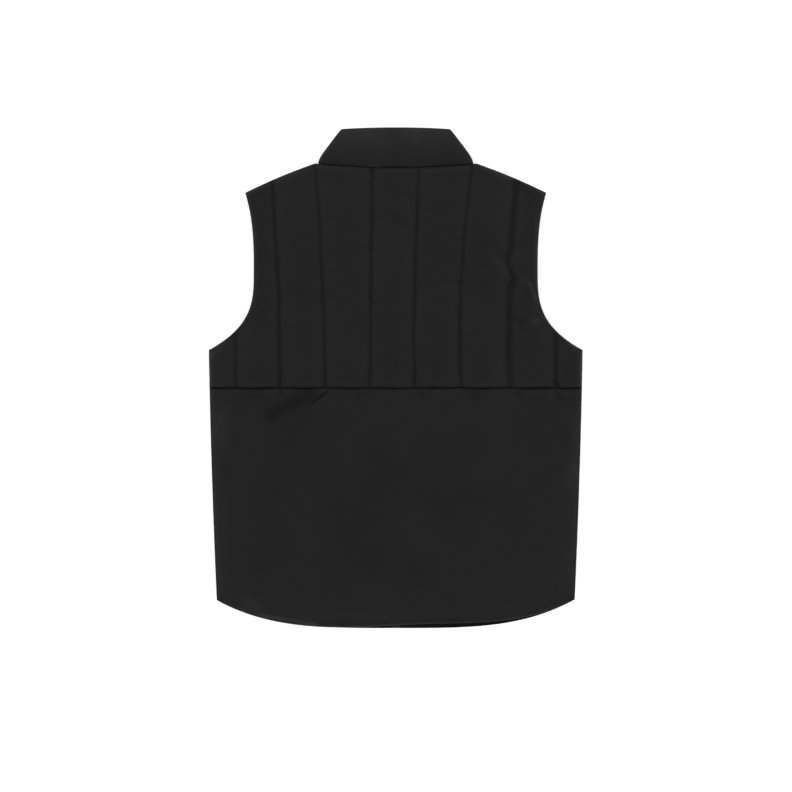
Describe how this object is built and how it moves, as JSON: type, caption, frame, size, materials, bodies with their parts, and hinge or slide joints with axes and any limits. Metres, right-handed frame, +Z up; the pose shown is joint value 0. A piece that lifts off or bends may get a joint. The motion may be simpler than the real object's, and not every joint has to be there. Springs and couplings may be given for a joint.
{
  "type": "padded vest",
  "caption": "Padded vest laid flat, back uppermost: upright quilted channels on the upper back, a plain lower back with a rounded hem, a stand collar and a zip front.",
  "frame": {"origin": "on the surface that the vest lies on, under the middle of the laid vest", "axes": "+Y from the hem to the collar, +Z up out of the back, and +X to the wearer's right"},
  "size_m": [0.561, 0.7515, 0.0221],
  "materials": {
    "shell_cloth": "matte woven nylon over light padding, black",
    "zip_tape": "woven polyester tape, black",
    "zip_metal": "black enamel",
    "zip_plastic": "black moulded",
    "thread": "spun polyester sewing thread, black"
  },
  "bodies": {
    "vest": {"front_left": "shell_cloth", "front_right": "shell_cloth", "back_upper": "shell_cloth", "back_lower": "shell_cloth", "collar": "shell_cloth", "zip_tape_left": "zip_tape", "zip_tape_right": "zip_tape", "zip_box": "zip_plastic", "zip_slider": "zip_metal"},
    "pull_tab": {"zip_pull": "zip_metal"}
  },
  "joints": [
    {"name": "pull_tab_swing", "type": "hinge", "parent": "vest", "child": "pull_tab", "pos_m": [0, 0.298, 0.002], "axis": [1, 0, 0], "range_deg": [0, 180]}
  ]
}
